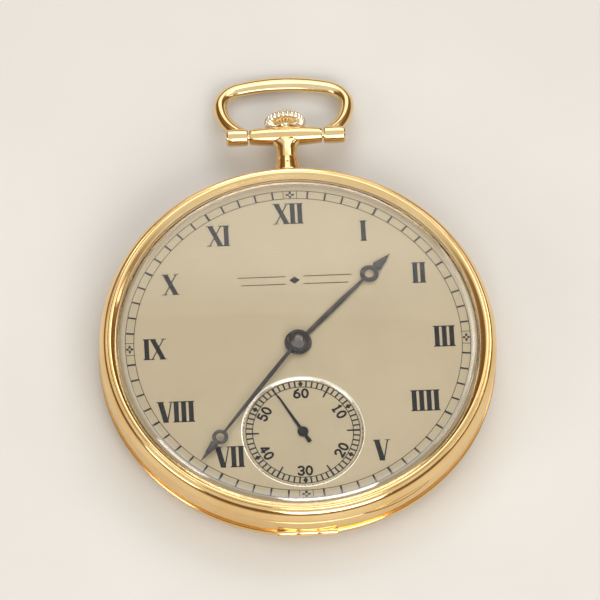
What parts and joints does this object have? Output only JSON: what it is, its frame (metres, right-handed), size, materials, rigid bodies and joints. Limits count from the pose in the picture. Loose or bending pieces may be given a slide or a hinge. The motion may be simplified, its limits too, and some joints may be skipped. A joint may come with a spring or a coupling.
{
  "type": "pocket watch",
  "caption": "Open face pocket watch with stem winding, small seconds, hinged back, swivel bow and a geared lever movement that turns its hands.",
  "frame": {"origin": "on the centre arbor's axis, on the plane that the closed back rests on", "axes": "+Z out of the dial, +Y towards 12 and the pendant, +X towards 3"},
  "size_m": [0.046, 0.0611, 0.0081],
  "materials": {
    "gold_case": "polished gold",
    "gold_bow": "polished gold",
    "crown_gold": "polished gold",
    "crystal": "clear polished",
    "dial_champagne": "satin champagne",
    "hands_steel": "dark blued steel",
    "nickel": "satin nickel plate",
    "bright_steel": "polished steel",
    "blued_steel": "blued",
    "movement_brass": "gilt",
    "ruby": "clear red"
  },
  "bodies": {
    "case": {"case_band": "gold_case", "back_hinge_pin": "gold_case", "cuvette_hinge_pin": "gold_case", "bow_screws": "gold_bow", "pendant_sleeve": "bright_steel", "setting_lever_spring": "bright_steel", "main_plate": "nickel", "barrel_bridge": "nickel", "train_bridge": "nickel", "balance_cock": "nickel", "pallet_cock": "nickel", "bridge_screws": "blued_steel", "case_screws": "blued_steel", "lever_screws": "blued_steel", "setting_bridge": "bright_steel", "jewels": "ruby", "crown_wheel_core": "blued_steel", "click_spring": "bright_steel", "hairspring": "blued_steel", "hairspring_stud": "bright_steel", "regulator": "bright_steel", "dial": "dial_champagne", "dial_feet": "movement_brass"},
    "bezel": {"bezel": "gold_case", "crystal": "crystal"},
    "back_cover": {"back_cover": "gold_case"},
    "cuvette": {"cuvette": "gold_case"},
    "bow": {"bow": "gold_bow"},
    "winding_pinion": {"winding_pinion": "bright_steel"},
    "crown": {"crown": "crown_gold", "winding_stem": "bright_steel"},
    "clutch_wheel": {"clutch_wheel": "bright_steel"},
    "setting_lever": {"setting_lever": "bright_steel"},
    "yoke": {"yoke": "bright_steel"},
    "crown_wheel": {"crown_wheel": "bright_steel"},
    "ratchet": {"ratchet_wheel": "bright_steel", "barrel_arbor": "bright_steel", "ratchet_screw": "blued_steel"},
    "click": {"click": "bright_steel"},
    "barrel": {"barrel": "movement_brass", "barrel_lid": "movement_brass", "mainspring": "blued_steel"},
    "centre": {"centre_wheel": "movement_brass", "cannon_pinion": "bright_steel", "minute_hand": "hands_steel"},
    "third_wheel": {"third_wheel": "movement_brass"},
    "fourth": {"fourth_wheel": "movement_brass", "seconds_hand": "hands_steel"},
    "escape_wheel": {"escape_wheel": "bright_steel"},
    "pallet_fork": {"pallet_fork": "bright_steel", "pallet_stones": "ruby"},
    "balance": {"balance_wheel": "movement_brass", "balance_screws": "movement_brass", "balance_staff": "bright_steel", "impulse_jewel": "ruby"},
    "minute_wheel": {"minute_wheel": "movement_brass"},
    "hour": {"hour_wheel": "movement_brass", "hour_hand": "hands_steel"},
    "setting_wheel": {"setting_wheel": "bright_steel"}
  },
  "joints": [
    {"name": "minute_turn", "type": "hinge", "parent": "case", "child": "centre", "pos_m": [0, 0, 0.004], "axis": [0, 0, -1], "continuous": true},
    {"name": "barrel_turn", "type": "hinge", "parent": "case", "child": "barrel", "pos_m": [-0.00662, 0.00555, 0.0035], "axis": [0, 0, -1], "continuous": true},
    {"name": "third_turn", "type": "hinge", "parent": "case", "child": "third_wheel", "pos_m": [0.00477, -0.00626, 0.0035], "axis": [0, 0, -1], "continuous": true},
    {"name": "seconds_turn", "type": "hinge", "parent": "case", "child": "fourth", "pos_m": [0, -0.0114, 0.0035], "axis": [0, 0, -1], "continuous": true},
    {"name": "escape_turn", "type": "hinge", "parent": "case", "child": "escape_wheel", "pos_m": [-0.0055, -0.01137, 0.0035], "axis": [0, 0, -1], "continuous": true},
    {"name": "motion_turn", "type": "hinge", "parent": "case", "child": "minute_wheel", "pos_m": [0.00224, 0.00282, 0.0049], "axis": [0, 0, -1], "continuous": true},
    {"name": "hour_turn", "type": "hinge", "parent": "case", "child": "hour", "pos_m": [0, 0, 0.005], "axis": [0, 0, -1], "continuous": true},
    {"name": "setting_turn", "type": "hinge", "parent": "case", "child": "setting_wheel", "pos_m": [0, 0.0079, 0.0049], "axis": [0, 0, -1], "continuous": true},
    {"name": "balance_swing", "type": "hinge", "parent": "case", "child": "balance", "pos_m": [-0.0114, -0.0076, 0.003], "axis": [0, 0, -1], "range_deg": [-270, 270], "stiffness_Nm_per_rad": 0.00000044},
    {"name": "fork_rock", "type": "hinge", "parent": "case", "child": "pallet_fork", "pos_m": [-0.00803, -0.00975, 0.0034], "axis": [0, 0, -1], "range_deg": [-5, 5]},
    {"name": "wind_turn", "type": "hinge", "parent": "case", "child": "winding_pinion", "pos_m": [0, 0.0144, 0.0036], "axis": [0, 1, 0], "continuous": true},
    {"name": "crown_wheel_turn", "type": "hinge", "parent": "case", "child": "crown_wheel", "pos_m": [0, 0.01072, 0.002], "axis": [0, 0, 1], "continuous": true},
    {"name": "ratchet_turn", "type": "hinge", "parent": "case", "child": "ratchet", "pos_m": [-0.00662, 0.00555, 0.002], "axis": [0, 0, 1], "continuous": true},
    {"name": "crown_pull", "type": "slide", "parent": "winding_pinion", "child": "crown", "axis": [0, 1, 0], "range_m": [0, 0.001]},
    {"name": "clutch_shift", "type": "slide", "parent": "winding_pinion", "child": "clutch_wheel", "axis": [0, 1, 0], "range_m": [-0.0009, 0]},
    {"name": "lever_rock", "type": "hinge", "parent": "case", "child": "setting_lever", "pos_m": [-0.0032, 0.01765, 0.0045], "axis": [0, 0, 1], "range_deg": [0, 20]},
    {"name": "yoke_rock", "type": "hinge", "parent": "case", "child": "yoke", "pos_m": [0.005, 0.01227, 0.0045], "axis": [0, 0, 1], "range_deg": [0, 11]},
    {"name": "click_rock", "type": "hinge", "parent": "case", "child": "click", "pos_m": [-0.0135, 0.00705, 0.0017], "axis": [0, 0, 1], "range_deg": [0, 12]},
    {"name": "bezel_lift", "type": "slide", "parent": "case", "child": "bezel", "axis": [0, 0, 1], "range_m": [0, 0.012]},
    {"name": "back_open", "type": "hinge", "parent": "case", "child": "back_cover", "pos_m": [0, -0.02285, 0.00275], "axis": [-1, 0, 0], "range_deg": [0, 110]},
    {"name": "cuvette_open", "type": "hinge", "parent": "case", "child": "cuvette", "pos_m": [0, -0.02145, 0.00202], "axis": [-1, 0, 0], "range_deg": [0, 90]},
    {"name": "bow_swing", "type": "hinge", "parent": "case", "child": "bow", "pos_m": [0, 0.02855, 0.0036], "axis": [1, 0, 0], "range_deg": [-95, 140]}
  ],
  "couplings": [
    {"joint": "barrel_turn", "follows": "minute_turn", "ratio": -0.14286},
    {"joint": "third_turn", "follows": "minute_turn", "ratio": -8},
    {"joint": "seconds_turn", "follows": "minute_turn", "ratio": 60},
    {"joint": "escape_turn", "follows": "minute_turn", "ratio": -600},
    {"joint": "motion_turn", "follows": "minute_turn", "ratio": -0.33333},
    {"joint": "hour_turn", "follows": "minute_turn", "ratio": 0.083333},
    {"joint": "setting_turn", "follows": "minute_turn", "ratio": 0.31579},
    {"joint": "crown_wheel_turn", "follows": "wind_turn", "ratio": 0.41176},
    {"joint": "ratchet_turn", "follows": "wind_turn", "ratio": -0.28},
    {"joint": "clutch_shift", "follows": "crown_pull", "ratio": -0.9},
    {"joint": "lever_rock", "follows": "crown_pull", "rad_per_m": 314.16},
    {"joint": "yoke_rock", "follows": "crown_pull", "rad_per_m": 179.42},
    {"joint": "cuvette_open", "follows": "back_open", "ratio": 0.8}
  ]
}
